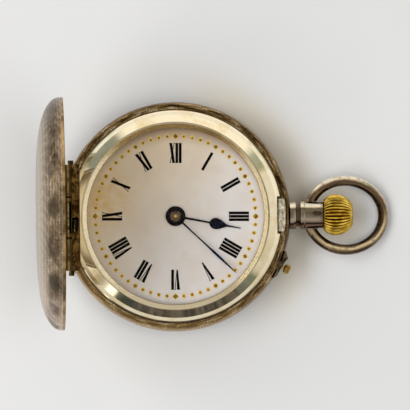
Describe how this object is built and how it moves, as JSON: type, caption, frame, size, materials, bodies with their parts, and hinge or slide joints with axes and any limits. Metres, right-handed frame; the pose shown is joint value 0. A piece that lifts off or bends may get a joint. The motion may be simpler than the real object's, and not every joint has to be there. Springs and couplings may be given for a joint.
{
  "type": "hunter pocket watch",
  "caption": "Full hunter fob watch with a sprung front cover standing open, enamel dial, keyless winding, pin setting and a going train under its hinged covers.",
  "frame": {"origin": "middle of the flat that the back cover rests on, on the dial's axis", "axes": "+Z towards the dial, +X towards the pendant and the three, +Y towards the twelve"},
  "size_m": [0.0553, 0.036, 0.0409],
  "materials": {
    "gilt": "polished gilding",
    "bronze_band": "dark patinated, finely milled",
    "silver": "tarnished silver",
    "engraved_silver": "engine-turned and tarnished",
    "crystal": "clear",
    "crown_gilt": "fluted gilding",
    "steel": "polished steel",
    "blued_steel": "blued",
    "enamel": "glossy vitreous enamel",
    "gilt_brass": "frosted and gilt",
    "wheel_brass": "polished",
    "ruby": "polished"
  },
  "bodies": {
    "case": {"case_middle": "bronze_band", "pendant": "silver", "bezel": "gilt", "crystal": "crystal", "front_hinge_pin": "steel", "back_hinge_pin": "steel", "spring_screws": "blued_steel", "pin_guard": "silver", "dial": "enamel", "mainplate": "gilt_brass", "barrel_bridge": "gilt_brass", "centre_bar": "gilt_brass", "third_bar": "gilt_brass", "fourth_bar": "gilt_brass", "escape_bar": "gilt_brass", "balance_cock": "gilt_brass", "pallet_cock": "gilt_brass", "jewels": "ruby", "bridge_screws": "blued_steel", "case_screws": "blued_steel", "click_spring": "steel", "crown_wheel_screw": "blued_steel"},
    "front_cover": {"front_cover": "engraved_silver"},
    "back_cover": {"back_cover": "engraved_silver"},
    "dust_cover": {"cuvette": "gilt"},
    "lock_spring": {"lock_spring": "steel"},
    "lift_spring": {"lift_spring": "steel"},
    "bow": {"bow": "silver"},
    "winding_pinion": {"winding_pinion": "steel"},
    "crown": {"crown": "crown_gilt", "stem": "steel"},
    "crown_wheel": {"crown_wheel": "steel"},
    "ratchet": {"ratchet_wheel": "steel", "barrel_arbor": "steel", "ratchet_screw": "blued_steel"},
    "click": {"click": "steel"},
    "pin_set": {"pin_set": "gilt"},
    "setting_lever": {"setting_lever": "steel"},
    "minute_hand": {"minute_hand": "blued_steel", "cannon_pinion": "steel"},
    "minute_wheel": {"minute_wheel": "wheel_brass"},
    "hour_hand": {"hour_hand": "blued_steel", "hour_wheel": "wheel_brass"},
    "barrel": {"barrel": "wheel_brass", "mainspring": "blued_steel"},
    "centre_wheel": {"centre_wheel": "wheel_brass"},
    "third_wheel": {"third_wheel": "wheel_brass"},
    "fourth_wheel": {"fourth_wheel": "wheel_brass"},
    "escape_wheel": {"escape_wheel": "steel"},
    "pallet_fork": {"pallet_fork": "steel"},
    "balance": {"balance": "wheel_brass", "hairspring": "blued_steel"},
    "regulator": {"regulator": "steel"}
  },
  "joints": [
    {"name": "front_cover_hinge", "type": "hinge", "parent": "case", "child": "front_cover", "pos_m": [-0.017, 0, 0.006], "axis": [0, -1, 0], "range_deg": [-87, 0], "stiffness_Nm_per_rad": 0.001, "springref_deg": 57.3},
    {"name": "back_cover_hinge", "type": "hinge", "parent": "case", "child": "back_cover", "pos_m": [-0.0165, 0, 0.0043], "axis": [0, 1, 0], "range_deg": [0, 90]},
    {"name": "dust_cover_hinge", "type": "hinge", "parent": "case", "child": "dust_cover", "pos_m": [-0.0165, 0, 0.0043], "axis": [0, 1, 0], "range_deg": [0, 60]},
    {"name": "lock_spring_flex", "type": "hinge", "parent": "case", "child": "lock_spring", "pos_m": [0.01203, 0.01009, 0.005], "axis": [0, 0, 1], "range_deg": [-1.05, 0]},
    {"name": "lift_spring_flex", "type": "hinge", "parent": "case", "child": "lift_spring", "pos_m": [-0.01203, -0.01009, 0.005], "axis": [0, 0, 1], "range_deg": [-1.3, 0]},
    {"name": "bow_swivel", "type": "hinge", "parent": "case", "child": "bow", "pos_m": [0.02127, 0, 0.0049], "axis": [0, -1, 0], "range_deg": [-70, 110]},
    {"name": "crown_spin", "type": "hinge", "parent": "case", "child": "winding_pinion", "pos_m": [0.01064, 0, 0.0049], "axis": [1, 0, 0], "continuous": true},
    {"name": "crown_push", "type": "slide", "parent": "winding_pinion", "child": "crown", "axis": [-1, 0, 0], "range_m": [0, 0.0005], "stiffness_N_per_m": 200, "springref_m": -0.0005},
    {"name": "crown_wheel_spin", "type": "hinge", "parent": "case", "child": "crown_wheel", "pos_m": [0.00805, 0, 0.005], "axis": [0, 0, 1], "continuous": true},
    {"name": "ratchet_spin", "type": "hinge", "parent": "case", "child": "ratchet", "pos_m": [0.00333, 0.00561, 0.005], "axis": [0, 0, 1], "continuous": true},
    {"name": "click_rock", "type": "hinge", "parent": "case", "child": "click", "pos_m": [-0.0002, 0.00996, 0.005], "axis": [0, 0, -1], "range_deg": [0, 10], "stiffness_Nm_per_rad": 0.0001, "springref_deg": -11.46},
    {"name": "pin_set_push", "type": "slide", "parent": "case", "child": "pin_set", "axis": [-0.8988, 0.4384, 0], "range_m": [0, 0.0005], "stiffness_N_per_m": 100, "springref_m": -0.0005},
    {"name": "setting_lever_rock", "type": "hinge", "parent": "case", "child": "setting_lever", "pos_m": [0.0093, -0.00727, 0.005], "axis": [0, 0, 1], "range_deg": [0, 13.5]},
    {"name": "minute_hand_spin", "type": "hinge", "parent": "case", "child": "minute_hand", "pos_m": [0, 0, 0.005], "axis": [0, 0, 1], "continuous": true},
    {"name": "minute_wheel_spin", "type": "hinge", "parent": "case", "child": "minute_wheel", "pos_m": [-0.00099, 0.00273, 0.005], "axis": [0, 0, 1], "continuous": true},
    {"name": "hour_hand_spin", "type": "hinge", "parent": "case", "child": "hour_hand", "pos_m": [0, 0, 0.005], "axis": [0, 0, 1], "continuous": true},
    {"name": "fourth_wheel_spin", "type": "hinge", "parent": "case", "child": "fourth_wheel", "pos_m": [-0.0035, -0.00426, 0.005], "axis": [0, 0, 1], "continuous": true},
    {"name": "third_wheel_spin", "type": "hinge", "parent": "case", "child": "third_wheel", "pos_m": [-0.00471, -0.00041, 0.005], "axis": [0, 0, 1], "continuous": true},
    {"name": "centre_wheel_spin", "type": "hinge", "parent": "case", "child": "centre_wheel", "pos_m": [0, 0, 0.005], "axis": [0, 0, 1], "continuous": true},
    {"name": "barrel_spin", "type": "hinge", "parent": "case", "child": "barrel", "pos_m": [0.00333, 0.00561, 0.005], "axis": [0, 0, 1], "continuous": true},
    {"name": "escape_wheel_spin", "type": "hinge", "parent": "case", "child": "escape_wheel", "pos_m": [-0.0003, -0.00619, 0.005], "axis": [0, 0, 1], "continuous": true},
    {"name": "pallet_fork_rock", "type": "hinge", "parent": "case", "child": "pallet_fork", "pos_m": [0.00263, -0.00683, 0.005], "axis": [0, 0, 1], "range_deg": [-5, 5]},
    {"name": "balance_swing", "type": "hinge", "parent": "case", "child": "balance", "pos_m": [0.0052, -0.00739, 0.005], "axis": [0, 0, 1], "range_deg": [-135, 135], "stiffness_Nm_per_rad": 0.0000005},
    {"name": "regulator_turn", "type": "hinge", "parent": "case", "child": "regulator", "pos_m": [0.0052, -0.00739, 0.005], "axis": [0, 0, 1], "range_deg": [-20, 20]}
  ],
  "couplings": [
    {"joint": "dust_cover_hinge", "follows": "back_cover_hinge", "ratio": 0.6},
    {"joint": "lock_spring_flex", "follows": "crown_push", "rad_per_m": -34.9},
    {"joint": "lift_spring_flex", "follows": "front_cover_hinge", "ratio": 0.0147},
    {"joint": "crown_wheel_spin", "follows": "crown_spin", "ratio": 0.33333},
    {"joint": "ratchet_spin", "follows": "crown_spin", "ratio": -0.275},
    {"joint": "setting_lever_rock", "follows": "pin_set_push", "rad_per_m": 454},
    {"joint": "minute_wheel_spin", "follows": "minute_hand_spin", "ratio": -0.33333},
    {"joint": "hour_hand_spin", "follows": "minute_hand_spin", "ratio": 0.083333},
    {"joint": "third_wheel_spin", "follows": "fourth_wheel_spin", "ratio": -0.13333},
    {"joint": "centre_wheel_spin", "follows": "fourth_wheel_spin", "ratio": 0.016667},
    {"joint": "barrel_spin", "follows": "fourth_wheel_spin", "ratio": -0.0020833},
    {"joint": "escape_wheel_spin", "follows": "fourth_wheel_spin", "ratio": -10}
  ]
}
